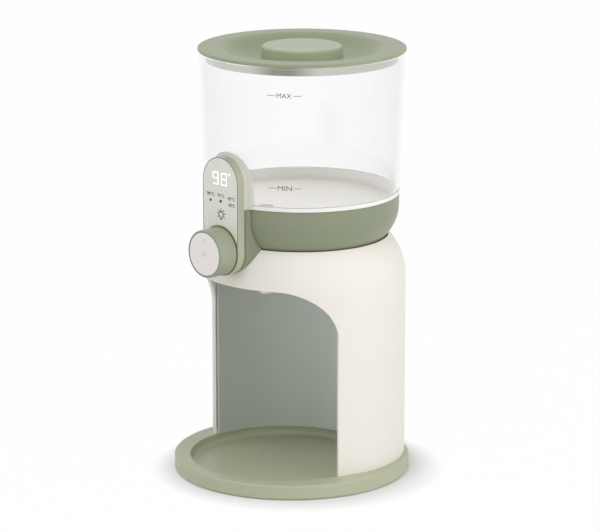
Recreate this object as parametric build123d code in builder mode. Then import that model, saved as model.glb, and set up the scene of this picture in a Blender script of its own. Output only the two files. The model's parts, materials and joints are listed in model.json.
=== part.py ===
"""Baby formula maker: a round base with a dish for the bottle, a cylindrical body with an arched bay,
a lift-off glass jug with a heated floor, and a control pod with a rotary knob. Millimetres, +Z up.
The origin is the centre of the round base, on the surface that the feet stand on; the front is -Y."""

import math
import os

from build123d import *

os.makedirs("parts", exist_ok=True)

# ---------------------------------------------------------------- driving dimensions
running_gap = 0.05  # radial clearance of a part that turns or slides in another
seat_gap = 0.3  # clearance between pieces that are set against each other
thread_gap = 0.05  # a screw's shank in its pilot hole

# Base
base_height = 11.6  # top of the ring above the table
foot_height = 0.8  # the feet hold the base this far above the table
base_wall = 2.0
base_top_round = 1.6
base_bottom_round = 0.8
dish_margin = 1.4  # the dish is wider than the bay by this
dish_offset = 8.0  # dish and bay axis in front of the base centre
dish_floor_z = 4.2
dish_round = 3.4
cover_thickness = 1.6
foot_count = 4
foot_pad_radius = 6.5
foot_pad_thickness = 1.6
foot_chamfer = 0.3

# Body
body_offset = 11.0  # body and jug axis behind the base centre
body_radius = 79.0  # the base's edge is flush with its back
shell_wall = 2.8
shoulder_z = 150.0  # where the dome of the shoulder begins
shoulder_radius = 48.0
mouth_inset = 13.7  # the round mouth that takes the jug, inside the body's wall
mouth_round = 0.5
arch_half_angle = 69.2  # each side of the arch's middle
arch_turn = 3.0  # the arch's middle is turned this far round the body, towards -X
arch_corner_width = 46.0  # the arch's elliptical corner, measured along the wall
arch_corner_height = 34.0
ceiling_rise = 5.0  # underside of the bay's ceiling above the shoulder's start
arch_drop = 0.2  # top of the arch below the ceiling
bay_inset = 8.4  # the bay's wall inside the body's radius
liner_wall = 1.6
liner_step = 0.8  # the liner ends this many degrees behind the arch's edge
flange_thickness = 3.0
ceiling_thickness = 2.0
inlet_z = 34.0  # height of the mains inlet

# Jug
cup_sink = 5.6  # the cup's foot below the top of the mouth
cup_height = 36.8
cup_corner = 34.0
cup_corner_rise = 28.4  # the corner's centre above the cup's foot
mouth_clearance = 0.38  # between the cup's corner and the edge of the mouth
cup_wall = 2.4
pan_drop = 6.4  # underside of the heated floor below the cup's rim
pan_wall = 0.8
pan_rim_height = 3.2
gasket_height = 3.0
glass_height = 105.5
glass_flare = 3.8  # the glass is wider at its top by this
glass_wall = 2.6
glass_round = 0.9
outlet_offset = 38.0  # the outlet in front of the jug axis
outlet_bore = 6.2
valve_travel = 3.0

# Lid
lid_overhang = 1.0  # the lid's rim outside the glass
lid_rim_thickness = 2.2
lid_wall = 2.2
lid_rim_width = 15.5
lid_slope_width = 20.0  # from the rim down to the floor of the lid's dish
lid_dish_depth = 7.6
lid_knob_radius = 30.0
lid_knob_draft = 1.2
lid_knob_rise = 1.0  # top of the lid's knob above its rim
skirt_gap = 2.5  # between the skirt and the glass
skirt_height = 7.0

# Control pod
pod_stand = 5.1  # face of the pod in front of the body's wall
pod_radius = 19.1
pod_height = 51.9  # between the centres of the pod's two rounds
knob_rise = 4.3  # knob axis, and centre of the pod's lower round, above the cup's foot
slab_depth = 6.2
back_depth = 2.0
pod_wall = 1.6
fascia_inset = 0.4
fascia_thickness = 1.2
collar_margin = 0.2  # the knob's collar outside the pod's radius
diffuser_overhang = 2.9  # the light's cover outside the pod's sides
diffuser_rise = 2.7  # and above its top
diffuser_thickness = 0.8
wrap_depth = 7.0  # the back cover's sides reach back this far, round the glass
jug_clearance = 0.5  # pod pieces stay this far from the jug
neck_taper = -9.0
knob_inset = 1.1  # the knob's side inside the pod's radius
knob_length = 16.4
knob_wall = 1.4
knob_tube_radius = 8.0
plunger_radius = 5.0
button_inset = 1.6  # the button's edge inside the knob's side
button_thickness = 1.6
button_travel = 1.2
board_thickness = 1.0

# ---------------------------------------------------------------- derived places
body_axis = Axis((0, body_offset, 0), (0, 0, 1))
body_profile = Plane((0, body_offset, 0), x_dir=(1, 0, 0), z_dir=(0, -1, 0))
body_centre = (0, body_offset)
bay_centre = (0, -dish_offset)
base_radius = body_radius + body_offset
bay_radius = body_radius - bay_inset
dish_radius = bay_radius + dish_margin
cover_screw_inset = 6.5  # the cover's screws inside the base's edge
cover_screw_radius = base_radius - cover_screw_inset
foot_inset = 14.0  # the feet inside the base's edge
foot_circle_radius = base_radius - foot_inset
base_bottom_z = foot_height
cover_top_z = base_bottom_z + cover_thickness
shell_inner_radius = body_radius - shell_wall
shoulder_centre_radius = body_radius - shoulder_radius
shoulder_inner = shoulder_radius - shell_wall
liner_outer_radius = bay_radius + liner_wall
mouth_radius = body_radius - mouth_inset
ceiling_z = shoulder_z + ceiling_rise
arch_top_z = ceiling_z - arch_drop
outlet_place = (0, body_offset - outlet_offset)


def dome_height(radius, arc_radius):
    """Height at which the shoulder's arc reaches a radius from the body axis."""
    reach = radius - shoulder_centre_radius
    return shoulder_z + math.sqrt(arc_radius**2 - reach**2)


mouth_outer_z = dome_height(mouth_radius, shoulder_radius)
mouth_inner_z = dome_height(mouth_radius, shoulder_inner)
dome_turn = math.degrees(math.asin((mouth_outer_z - shoulder_z) / shoulder_radius))
inner_turn = math.degrees(math.asin((mouth_inner_z - shoulder_z) / shoulder_inner))

cup_bottom_z = round(mouth_outer_z, 1) - cup_sink
cup_rim_z = cup_bottom_z + cup_height
cup_corner_z = cup_bottom_z + cup_corner_rise
cup_bulge = cup_corner - math.sqrt(cup_corner**2 - (cup_corner_rise - cup_sink) ** 2)
cup_radius = mouth_radius - mouth_clearance + cup_bulge
deck_z = cup_bottom_z - seat_gap
deck_thickness = 2.0
pan_z = cup_rim_z - pan_drop
pan_top_z = pan_z + pan_wall
glass_bottom_z = cup_rim_z + gasket_height
glass_top_z = glass_bottom_z + glass_height
glass_top_radius = cup_radius + glass_flare
lid_top_z = glass_top_z + seat_gap + lid_rim_thickness
lid_knob_top_z = lid_top_z + lid_knob_rise
lid_radius = glass_top_radius + lid_overhang
lid_dish_radius = lid_radius - lid_rim_width
lid_floor_radius = lid_dish_radius - lid_slope_width
skirt_radius = glass_top_radius - glass_wall - skirt_gap
knob_z = cup_bottom_z + knob_rise
pod_top_centre_z = knob_z + pod_height
knob_gap = 0.5  # the knob's back in front of the pod's face
pod_face = body_radius + pod_stand - body_offset  # in front of the origin, as are the next four
slab_back = pod_face - slab_depth
back_cover_back = slab_back - back_depth
knob_back = pod_face + knob_gap
knob_face_at = pod_face + knob_length
collar_radius = pod_radius + collar_margin
knob_radius = pod_radius - knob_inset
button_radius = knob_radius - button_inset


def cup_arc_radius(height, wall=0.0):
    """Outer radius of the cup's rounded foot at a height, less a wall."""
    drop = cup_corner_z - height
    return cup_radius - cup_corner + math.sqrt((cup_corner - wall) ** 2 - drop**2)


def pod_plane(distance):
    """A plane facing the front, a distance in front of the origin; local y is height."""
    return Plane.XZ.offset(distance)


def stadium(radius, mode=Mode.ADD):
    """The pod's outline, a slot standing on the knob's centre."""
    with Locations((0, (pod_top_centre_z + knob_z) / 2)):
        SlotCenterToCenter(pod_height, 2 * radius, rotation=90, mode=mode)


def jug_envelope(clearance):
    """Half section of the space that the jug needs as it lifts, grown by a clearance."""
    grown = cup_corner + clearance
    edge = cup_radius + clearance
    top_z = glass_top_z + clearance
    top_edge = glass_top_radius + clearance
    foot_z = cup_bottom_z - clearance
    turn = math.degrees(math.asin((cup_corner_z - foot_z) / grown))
    foot_edge = cup_radius - cup_corner + grown * math.cos(math.radians(turn))
    with BuildSketch(body_profile) as section:
        with BuildLine():
            Line((0, foot_z), (foot_edge, foot_z))
            CenterArc((cup_radius - cup_corner, cup_corner_z), grown, -turn, turn)
            Line((edge, cup_corner_z), (edge, glass_bottom_z))
            Line((edge, glass_bottom_z), (top_edge, top_z))
            Polyline((top_edge, top_z), (0, top_z), (0, foot_z))
        make_face()
    return section.sketch


def shell_outline(clearance=0.0):
    """Half section of the space inside the body's outer surface, grown by a clearance, up to its mouth."""
    edge = body_radius + clearance
    arc = shoulder_radius + clearance
    turn = math.degrees(math.asin((mouth_outer_z - shoulder_z) / arc))
    mouth_edge = shoulder_centre_radius + arc * math.cos(math.radians(turn))
    with BuildSketch(body_profile) as section:
        with BuildLine():
            Polyline((0, mouth_outer_z), (0, base_height), (edge, base_height))
            Line((edge, base_height), (edge, shoulder_z))
            CenterArc((shoulder_centre_radius, shoulder_z), arc, 0, turn)
            Line((mouth_edge, mouth_outer_z), (0, mouth_outer_z))
        make_face()
    return section.sketch


def screw(head_radius, head_height, shank_radius, length):
    """A pan-head screw standing on its head, shank upwards, added to the current part."""
    Cylinder(head_radius, head_height, align=(Align.CENTER, Align.CENTER, Align.MIN))
    with Locations((0, 0, head_height)):
        Cylinder(shank_radius, length, align=(Align.CENTER, Align.CENTER, Align.MIN))


def save(piece, name):
    """Label a finished piece and write it."""
    piece.part.label = name
    export_step(piece.part, f"parts/{name}.step")


# ---------------------------------------------------------------- base
cover_screw_count = 4
cover_screw_turn = 45
cover_screw_shank = 1.4
cover_screw_length = 6.0
cover_screw_head = 2.6
cover_screw_head_height = 1.2
body_screw_shank = 1.4
body_screw_inset = 6.2  # the body's screws inside its wall
body_screw_circle = shell_inner_radius - body_screw_inset
body_screw_angles = (115, 160, 200, 245)  # from the front, round the body axis
ring_roof_z = base_height - base_wall


def round_body(radius, angles):
    """Points on a circle round the body axis, at angles from the front."""
    return [
        (radius * math.sin(math.radians(a)), body_offset - radius * math.cos(math.radians(a)))
        for a in angles
    ]


body_screw_places = round_body(body_screw_circle, body_screw_angles)

with BuildPart() as base_tray:
    with BuildSketch(Plane.XY.offset(base_bottom_z)):
        Circle(base_radius)
    extrude(amount=base_height - base_bottom_z)
    fillet(base_tray.edges().group_by(Axis.Z)[-1], base_top_round)
    fillet(base_tray.edges().group_by(Axis.Z)[0], base_bottom_round)
    with BuildSketch(Plane.XY.offset(base_height)):
        with Locations(bay_centre):
            Circle(dish_radius)
    extrude(amount=dish_floor_z - base_height, mode=Mode.SUBTRACT)
    dish_edges = base_tray.edges().filter_by(GeomType.CIRCLE).filter_by(
        lambda e: abs(e.radius - dish_radius) < 0.01
    )
    fillet(dish_edges.sort_by(Axis.Z)[0], dish_round)
    with BuildSketch(Plane.XY.offset(base_bottom_z)):
        Circle(base_radius - base_wall)
    extrude(amount=cover_thickness, mode=Mode.SUBTRACT)
    with BuildSketch(Plane.XY.offset(cover_top_z)):
        Circle(base_radius - base_wall)
        with Locations(bay_centre):
            Circle(dish_radius + base_wall, mode=Mode.SUBTRACT)
        with PolarLocations(cover_screw_radius, cover_screw_count, start_angle=cover_screw_turn):
            Circle(cover_screw_shank + base_wall, mode=Mode.SUBTRACT)
    extrude(amount=ring_roof_z - cover_top_z, mode=Mode.SUBTRACT)
    with Locations(Plane.XY.offset(cover_top_z)):
        with PolarLocations(cover_screw_radius, cover_screw_count, start_angle=cover_screw_turn):
            Cylinder(
                cover_screw_shank + thread_gap,
                cover_screw_length + 2 * seat_gap,
                align=(Align.CENTER, Align.CENTER, Align.MIN),
                mode=Mode.SUBTRACT,
            )
    with BuildSketch(Plane.XY.offset(ring_roof_z)):
        with Locations(*body_screw_places):
            Circle(body_screw_shank + seat_gap)
    extrude(amount=base_wall, mode=Mode.SUBTRACT)
save(base_tray, "base_tray")

with BuildPart() as base_cover:
    with BuildSketch(Plane.XY.offset(base_bottom_z)):
        Circle(base_radius - base_wall - seat_gap)
        with PolarLocations(cover_screw_radius, cover_screw_count, start_angle=cover_screw_turn):
            Circle(cover_screw_shank + seat_gap, mode=Mode.SUBTRACT)
    extrude(amount=cover_thickness)
    with BuildSketch(Plane.XY.offset(base_bottom_z)):
        with PolarLocations(cover_screw_radius, cover_screw_count, start_angle=cover_screw_turn):
            Circle(cover_screw_head + seat_gap)
    extrude(amount=cover_screw_head_height, mode=Mode.SUBTRACT)
    with BuildSketch(Plane.XY.offset(base_bottom_z)):
        with PolarLocations(foot_circle_radius, foot_count):
            Circle(foot_pad_radius)
    extrude(amount=foot_pad_thickness - foot_height, mode=Mode.SUBTRACT)
save(base_cover, "base_cover")

with BuildPart() as rubber_feet:
    with BuildSketch(Plane.XY):
        with PolarLocations(foot_circle_radius, foot_count):
            Circle(foot_pad_radius)
    extrude(amount=foot_pad_thickness)
    chamfer(rubber_feet.edges().group_by(Axis.Z)[0], foot_chamfer)
save(rubber_feet, "rubber_feet")

with BuildPart() as cover_screws:
    with Locations(Plane.XY.offset(base_bottom_z)):
        with PolarLocations(cover_screw_radius, cover_screw_count, start_angle=cover_screw_turn):
            screw(cover_screw_head, cover_screw_head_height, cover_screw_shank, cover_screw_length)
save(cover_screws, "cover_screws")

body_screw_head_height = 1.4
body_screw_reach = base_wall + flange_thickness - seat_gap
with BuildPart() as body_screws:
    with Locations(Plane.XY.offset(ring_roof_z - body_screw_head_height)):
        with Locations(*body_screw_places):
            screw(cover_screw_head, body_screw_head_height, body_screw_shank, body_screw_reach)
save(body_screws, "body_screws")

# ---------------------------------------------------------------- body shell
arch_spring_z = arch_top_z - arch_corner_height
arch_half_width = math.radians(arch_half_angle) * body_radius
arch_flat_half = arch_half_width - arch_corner_width
arch_steps = 12  # points along each corner of the arch
arch_near = 12.0  # distances of the cutter's two sections in front of the body axis
arch_reach = 17.0  # the arch's cutter ends outside the body by this
arch_far = body_radius + arch_reach


def arch_section(distance):
    """Half of the arch as seen from the body axis, on a plane a distance in front of it."""
    corner = []
    for step in range(arch_steps + 1):
        turn = math.radians(90) * step / arch_steps
        along = arch_flat_half + arch_corner_width * math.sin(turn)
        height = arch_spring_z + arch_corner_height * math.cos(turn)
        corner.append((distance * math.tan(along / body_radius), height))
    with BuildSketch(pod_plane(distance - body_offset)) as section:
        with BuildLine():
            Line((0, 0), (0, arch_top_z))
            Line((0, arch_top_z), corner[0])
            Spline(*corner)
            Line(corner[-1], (corner[-1][0], 0))
            Line((corner[-1][0], 0), (0, 0))
        make_face()
    return section.sketch


with BuildPart() as arch_cutter:
    loft([arch_section(arch_near), arch_section(arch_far)], ruled=True)
    mirror(about=Plane.YZ)

inlet_width = 23.0
inlet_height = 13.0
inlet_flange = 1.2
inlet_depth = 15.0
inlet_plane = Plane((0, body_offset + body_radius, inlet_z), x_dir=(-1, 0, 0), z_dir=(0, 1, 0))
neck_screw_x = 11.0
neck_screw_drop = 8.0  # below the cup's foot
neck_screw_z = cup_bottom_z - neck_screw_drop
neck_screw_shank = 1.1
neck_screw_head = 2.3
neck_screw_head_height = 1.4
neck_boss_radius = 3.0
neck_boss_height = 1.6
cable_hole_radius = 5.0
cable_hole_drop = 5.0  # below the cup's foot
cable_hole_z = cup_bottom_z - cable_hole_drop

neck_boss_top = neck_screw_z + neck_boss_radius
neck_arc_reach = math.sqrt(shoulder_inner**2 - (neck_boss_top - shoulder_z) ** 2)
neck_wall_reach = shoulder_centre_radius + neck_arc_reach
neck_seat = neck_wall_reach - body_offset - neck_boss_height  # in front of the origin
neck_screw_length = back_cover_back - neck_seat - seat_gap

with BuildPart() as neck_bosses:
    with BuildSketch(pod_plane(neck_seat)):
        with Locations((-neck_screw_x, neck_screw_z), (neck_screw_x, neck_screw_z)):
            Circle(neck_boss_radius)
    extrude(amount=3 * shell_wall)
    revolve(shell_outline(), axis=body_axis, mode=Mode.INTERSECT)

with BuildPart() as body_shell:
    with BuildSketch(body_profile):
        with BuildLine():
            Line((shell_inner_radius, base_height), (body_radius, base_height))
            Line((body_radius, base_height), (body_radius, shoulder_z))
            CenterArc((shoulder_centre_radius, shoulder_z), shoulder_radius, 0, dome_turn)
            Line((mouth_radius, mouth_outer_z), (mouth_radius, mouth_inner_z))
            CenterArc((shoulder_centre_radius, shoulder_z), shoulder_inner, 0, inner_turn)
            Line((shell_inner_radius, shoulder_z), (shell_inner_radius, base_height))
        make_face()
    revolve(axis=body_axis)
    fillet(body_shell.edges().group_by(Axis.Z)[-1], mouth_round)
    with BuildSketch(Plane.XY.offset(base_height)) as foot_flange:
        with Locations(body_centre):
            Circle(shell_inner_radius + shell_wall / 2)
        with Locations(bay_centre):
            Circle(liner_outer_radius + seat_gap, mode=Mode.SUBTRACT)
        with Locations(*body_screw_places):
            Circle(body_screw_shank + thread_gap, mode=Mode.SUBTRACT)
    extrude(amount=flange_thickness)
    add(arch_cutter.part.rotate(body_axis, -arch_turn), mode=Mode.SUBTRACT)
    add(neck_bosses.part)
    with BuildSketch(inlet_plane):
        Rectangle(inlet_width + 2 * seat_gap, inlet_height + 2 * seat_gap)
    extrude(amount=-2 * shell_wall, mode=Mode.SUBTRACT)
    with BuildSketch(pod_plane(pod_face)):
        with Locations((0, cable_hole_z)):
            Circle(cable_hole_radius)
        with Locations((-neck_screw_x, neck_screw_z), (neck_screw_x, neck_screw_z)):
            Circle(neck_screw_shank + seat_gap)
    extrude(amount=-pod_face / 2, mode=Mode.SUBTRACT)
save(body_shell, "body_shell")

# ---------------------------------------------------------------- bay
main_board_width = 56.0
main_board_height = 64.0
main_board_z = 60.0
main_board_inset = 16.2  # the main board in front of the body's back wall
main_board_y = body_offset + shell_inner_radius - main_board_inset
main_board_thickness = 1.6
board_screw_inset = 4.0
board_screw_dx = main_board_width - 2 * board_screw_inset
board_screw_dz = main_board_height - 2 * board_screw_inset
board_screw_shank = 1.2
board_screw_head = 2.2
board_screw_head_height = 1.4
board_screw_depth = 5.0
board_post_radius = 3.2
main_board_centre_z = main_board_z + main_board_height / 2
board_plane = Plane((0, main_board_y, main_board_centre_z), x_dir=(-1, 0, 0), z_dir=(0, 1, 0))

with BuildPart() as bay_liner:
    with BuildSketch(Plane.XY.offset(base_height)):
        with Locations(bay_centre):
            Circle(liner_outer_radius)
        with BuildSketch(mode=Mode.PRIVATE) as inside_shell:
            with Locations(body_centre):
                Circle(shell_inner_radius - seat_gap)
        add(inside_shell.sketch, mode=Mode.INTERSECT)
        with Locations(bay_centre):
            Circle(bay_radius, mode=Mode.SUBTRACT)
        with BuildSketch(mode=Mode.PRIVATE) as doorway:
            front_reach = arch_far
            door_half = front_reach * math.tan(math.radians(arch_half_angle + liner_step))
            door_corners = [(0, 0), (door_half, -front_reach), (-door_half, -front_reach)]
            with Locations(body_centre):
                Polygon(*door_corners, rotation=-arch_turn, align=None)
        add(doorway.sketch, mode=Mode.SUBTRACT)
    extrude(amount=ceiling_z - base_height)
    with BuildSketch(board_plane):
        with GridLocations(board_screw_dx, board_screw_dz, 2, 2):
            Circle(board_post_radius)
    extrude(amount=-main_board_y)
    with BuildSketch(board_plane):
        with GridLocations(board_screw_dx, board_screw_dz, 2, 2):
            Circle(board_screw_shank + thread_gap)
    extrude(amount=-board_screw_depth, mode=Mode.SUBTRACT)
    with Locations((*bay_centre, base_height)):
        Cylinder(
            bay_radius,
            ceiling_z - base_height,
            align=(Align.CENTER, Align.CENTER, Align.MIN),
            mode=Mode.SUBTRACT,
        )
save(bay_liner, "bay_liner")

ceiling_radius = (
    shoulder_centre_radius
    + math.sqrt(shoulder_inner**2 - (ceiling_z + ceiling_thickness - shoulder_z) ** 2)
    - seat_gap
)
post_inset = 33.0  # the deck's posts inside the body's side
post_circle = body_radius - post_inset
post_radius = 3.6
nozzle_bore = 3.0
nozzle_radius = 4.8
nozzle_drop = 13.0  # the nozzle's tip below the ceiling's underside
nozzle_tip_z = ceiling_z - nozzle_drop
nozzle_flange_radius = 8.5
nozzle_flange = 1.5
nozzle_taper = 0.6
nozzle_taper_height = 5.0
cable_slot_length = 40.0
cable_slot_width = 10.0
cable_slot_inset = 14.0
ceiling_top_z = ceiling_z + ceiling_thickness
post_count = 4
deck_screw_head = 3.0
deck_screw_head_height = 1.6
deck_screw_shank = 1.5
deck_screw_grip = 10.0

with BuildPart() as bay_ceiling:
    with BuildSketch(Plane.XY.offset(ceiling_z)):
        with Locations(body_centre):
            Circle(ceiling_radius)
            with PolarLocations(post_circle, post_count, start_angle=45):
                Circle(deck_screw_shank + seat_gap, mode=Mode.SUBTRACT)
        with Locations(outlet_place):
            Circle(nozzle_radius + seat_gap, mode=Mode.SUBTRACT)
        with Locations((0, body_offset + shell_inner_radius - cable_slot_inset)):
            SlotOverall(cable_slot_length, cable_slot_width, mode=Mode.SUBTRACT)
    extrude(amount=ceiling_thickness)
save(bay_ceiling, "bay_ceiling")

with BuildPart() as nozzle:
    with BuildSketch(Plane((0, outlet_place[1], 0), x_dir=(1, 0, 0), z_dir=(0, -1, 0))):
        with BuildLine():
            Polyline(
                (nozzle_bore, nozzle_tip_z),
                (nozzle_radius - nozzle_taper, nozzle_tip_z),
                (nozzle_radius, nozzle_tip_z + nozzle_taper_height),
                (nozzle_radius, ceiling_top_z),
                (nozzle_flange_radius, ceiling_top_z),
                (nozzle_flange_radius, ceiling_top_z + nozzle_flange),
                (nozzle_bore, ceiling_top_z + nozzle_flange),
                close=True,
            )
        make_face()
    revolve(axis=Axis((0, outlet_place[1], 0), (0, 0, 1)))
save(nozzle, "nozzle")

# ---------------------------------------------------------------- jug seat and valve
deck_bottom_z = deck_z - deck_thickness
deck_radius = mouth_radius - seat_gap
port_radius = 10.0
port_bore = 6.0
port_drop = 9.0  # the port's foot below the cup's
port_bottom_z = cup_bottom_z - port_drop
coupler_radius = 15.0
coupler_height = 6.0
coupler_pin = 2.2
coupler_lip = 2.0

with BuildPart() as seat_deck:
    with BuildSketch(Plane.XY.offset(deck_bottom_z)):
        with Locations(body_centre):
            Circle(deck_radius)
            Circle(coupler_radius - coupler_lip, mode=Mode.SUBTRACT)
        with Locations(outlet_place):
            Circle(port_radius + seat_gap, mode=Mode.SUBTRACT)
    extrude(amount=deck_thickness)
    with BuildSketch(Plane.XY.offset(ceiling_top_z)):
        with Locations(body_centre):
            with PolarLocations(post_circle, post_count, start_angle=45):
                Circle(post_radius)
                Circle(deck_screw_shank + thread_gap, mode=Mode.SUBTRACT)
    extrude(amount=deck_bottom_z - ceiling_top_z)
save(seat_deck, "seat_deck")

with BuildPart() as deck_screws:
    with Locations(Plane((0, body_offset, ceiling_z - deck_screw_head_height))):
        with PolarLocations(post_circle, post_count, start_angle=45):
            screw(
                deck_screw_head,
                deck_screw_head_height,
                deck_screw_shank,
                ceiling_thickness + deck_screw_grip,
            )
save(deck_screws, "deck_screws")

port_pin = 1.4
port_pin_rise = 0.6  # the pin's top above the cup's foot
port_pin_top_z = cup_bottom_z + port_pin_rise
port_web = 1.6
port_web_depth = 2.0
port_web_grip = 2.0  # the web runs into the port's wall by half of this at each end
port_web_length = 2 * port_bore + port_web_grip
port_web_z = deck_bottom_z - port_web_depth
seal_outer = 9.0
seal_inner = 7.0
seal_depth = 1.5
with BuildPart() as seat_port:
    with BuildSketch(Plane.XY.offset(port_bottom_z)):
        with Locations(outlet_place):
            Circle(port_radius)
            Circle(port_bore, mode=Mode.SUBTRACT)
    extrude(amount=deck_z - port_bottom_z)
    with BuildSketch(Plane.XY.offset(port_web_z)):
        with Locations(outlet_place):
            Rectangle(port_web_length, port_web)
            Rectangle(port_web, port_web_length)
    extrude(amount=port_web_depth)
    with BuildSketch(Plane.XY.offset(port_web_z)):
        with Locations(outlet_place):
            Circle(port_pin)
    extrude(amount=port_pin_top_z - port_web_z)
    with BuildSketch(Plane.XY.offset(deck_z - seal_depth)):
        with Locations(outlet_place):
            Circle(seal_outer)
            Circle(seal_inner, mode=Mode.SUBTRACT)
    extrude(amount=seal_depth, mode=Mode.SUBTRACT)
save(seat_port, "seat_port")

with BuildPart() as port_seal:
    with BuildSketch(Plane.XY.offset(deck_z - seal_depth)):
        with Locations(outlet_place):
            Circle(seal_outer)
            Circle(seal_inner, mode=Mode.SUBTRACT)
    extrude(amount=seal_depth)
save(port_seal, "port_seal")


# ---------------------------------------------------------------- jug
ledge_width = 1.6  # the ledge inside the cup that carries the pan
cup_inner_radius = cup_radius - cup_wall
cup_floor_z = cup_bottom_z + cup_wall
cup_turn = math.degrees(math.asin((cup_corner_z - cup_bottom_z) / cup_corner))
cup_foot_radius = cup_arc_radius(cup_bottom_z)
inner_corner = cup_corner - cup_wall
inner_cup_turn = math.degrees(math.asin((cup_corner_z - cup_floor_z) / inner_corner))
inner_foot_radius = cup_arc_radius(cup_floor_z, cup_wall)
socket_side_room = 1.2  # round the coupler
socket_radius = coupler_radius + socket_side_room
socket_top_room = 1.5  # above the coupler
socket_height = coupler_height + socket_top_room
outlet_tube_wall = 1.8
outlet_tube_radius = outlet_bore + outlet_tube_wall
cup_foot_round = 1.5
cup_rim_round = 0.6

with BuildPart() as jug_cup:
    with BuildSketch(body_profile):
        with BuildLine():
            Line((0, cup_bottom_z), (cup_foot_radius, cup_bottom_z))
            CenterArc((cup_radius - cup_corner, cup_corner_z), cup_corner, -cup_turn, cup_turn)
            Line((cup_radius, cup_corner_z), (cup_radius, cup_rim_z))
            Line((cup_radius, cup_rim_z), (cup_inner_radius, cup_rim_z))
            Line((cup_inner_radius, cup_rim_z), (cup_inner_radius, pan_z))
            Line((cup_inner_radius, pan_z), (cup_inner_radius - ledge_width, pan_z))
            Polyline(
                (cup_inner_radius - ledge_width, pan_z),
                (cup_inner_radius - ledge_width, cup_corner_z + ledge_width),
                (cup_inner_radius, cup_corner_z),
            )
            CenterArc(
                (cup_radius - cup_corner, cup_corner_z), inner_corner, -inner_cup_turn, inner_cup_turn
            )
            Line((inner_foot_radius, cup_floor_z), (0, cup_floor_z))
            Line((0, cup_floor_z), (0, cup_bottom_z))
        make_face()
    revolve(axis=body_axis)
    foot_edge = jug_cup.edges().filter_by(GeomType.CIRCLE).group_by(Axis.Z)[0]
    fillet(foot_edge, cup_foot_round)
    fillet(jug_cup.edges().group_by(Axis.Z)[-1].sort_by(SortBy.LENGTH)[-1], cup_rim_round)
    with BuildSketch(Plane.XY.offset(cup_bottom_z)):
        with Locations(body_centre):
            Circle(socket_radius)
        with Locations(outlet_place):
            Circle(outlet_tube_radius + seat_gap)
    extrude(amount=cup_wall, mode=Mode.SUBTRACT)
save(jug_cup, "jug_cup")

pan_radius = cup_inner_radius - seat_gap
probe_offset = 30.0  # the probe to the side of the jug's axis and behind it
probe_place = (probe_offset, body_offset + probe_offset)
probe_radius = 2.7
probe_length = 9.0
with BuildPart() as heated_floor:
    with BuildSketch(body_profile):
        Polygon(
            (0, pan_z),
            (pan_radius, pan_z),
            (pan_radius, pan_z + pan_rim_height),
            (pan_radius - pan_wall, pan_z + pan_rim_height),
            (pan_radius - pan_wall, pan_top_z),
            (0, pan_top_z),
            align=None,
        )
    revolve(axis=body_axis)
    with BuildSketch(Plane.XY.offset(pan_z)):
        with Locations(outlet_place):
            Circle(outlet_bore)
    extrude(amount=pan_wall, mode=Mode.SUBTRACT)
save(heated_floor, "heated_floor")

heater_radius = 52.0
heater_thickness = 5.0
heater_bore = 8.0
flange_overhang = 2.5
flange_height = 2.0
with BuildPart() as heating_plate:
    with BuildSketch(Plane.XY.offset(pan_z - heater_thickness)):
        with Locations(body_centre):
            Circle(heater_radius)
            Circle(heater_bore, mode=Mode.SUBTRACT)
        with Locations(outlet_place):
            Circle(outlet_tube_radius + 2 * flange_overhang, mode=Mode.SUBTRACT)
        with Locations(probe_place):
            Circle(probe_radius + seat_gap, mode=Mode.SUBTRACT)
    extrude(amount=heater_thickness)
save(heating_plate, "heating_plate")

with BuildPart() as temperature_probe:
    with BuildSketch(Plane.XY.offset(pan_z - probe_length)):
        with Locations(probe_place):
            Circle(probe_radius)
    extrude(amount=probe_length)
save(temperature_probe, "temperature_probe")

outlet_axis = Axis((*outlet_place, 0), (0, 0, 1))
outlet_profile = Plane((0, outlet_place[1], 0), x_dir=(1, 0, 0), z_dir=(0, -1, 0))
valve_lip_rise = 4.0  # the valve's lip above the cup's foot
valve_lip_z = cup_bottom_z + valve_lip_rise
valve_throat = 3.6
with BuildPart() as outlet_tube:
    with BuildSketch(outlet_profile):
        Polygon(
            (outlet_tube_radius, cup_bottom_z + seat_gap),
            (outlet_tube_radius, pan_z - flange_height),
            (outlet_tube_radius + flange_overhang, pan_z - flange_height),
            (outlet_tube_radius + flange_overhang, pan_z),
            (outlet_bore, pan_z),
            (outlet_bore, valve_lip_z),
            (valve_throat, valve_lip_z),
            (valve_throat, cup_bottom_z + seat_gap),
            align=None,
        )
    revolve(axis=outlet_axis)
save(outlet_tube, "outlet_tube")

valve_radius = 5.2
valve_thickness = 2.0
stem_radius = 1.3
stem_rise = 20.0  # the stem's top above the lip
stem_top_z = valve_lip_z + stem_rise
cage_rise = 14.0  # the cage's foot above the lip
cage_z = valve_lip_z + cage_rise
cage_height = 1.6
cage_web = 1.6
cage_wall = 1.0
cage_hub_wall = 1.2
lip_gap = 0.1  # the closed valve's disc above its lip
disc_z = valve_lip_z + lip_gap
with BuildPart() as outlet_valve:
    with BuildSketch(outlet_profile):
        Polygon(
            (0, port_pin_top_z + seat_gap),
            (stem_radius, port_pin_top_z + seat_gap),
            (stem_radius, disc_z),
            (valve_radius, disc_z),
            (valve_radius, disc_z + valve_thickness),
            (stem_radius, disc_z + valve_thickness),
            (stem_radius, stem_top_z),
            (0, stem_top_z),
            align=None,
        )
    revolve(axis=outlet_axis)
save(outlet_valve, "outlet_valve")

with BuildPart() as valve_cage:
    with BuildSketch(Plane.XY.offset(cage_z)):
        with Locations(outlet_place):
            Circle(outlet_bore)
            Circle(outlet_bore - cage_wall, mode=Mode.SUBTRACT)
            Rectangle(2 * outlet_bore - cage_wall, cage_web)
            Circle(stem_radius + cage_hub_wall)
            Circle(stem_radius + running_gap, mode=Mode.SUBTRACT)
    extrude(amount=cage_height)
save(valve_cage, "valve_cage")

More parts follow.
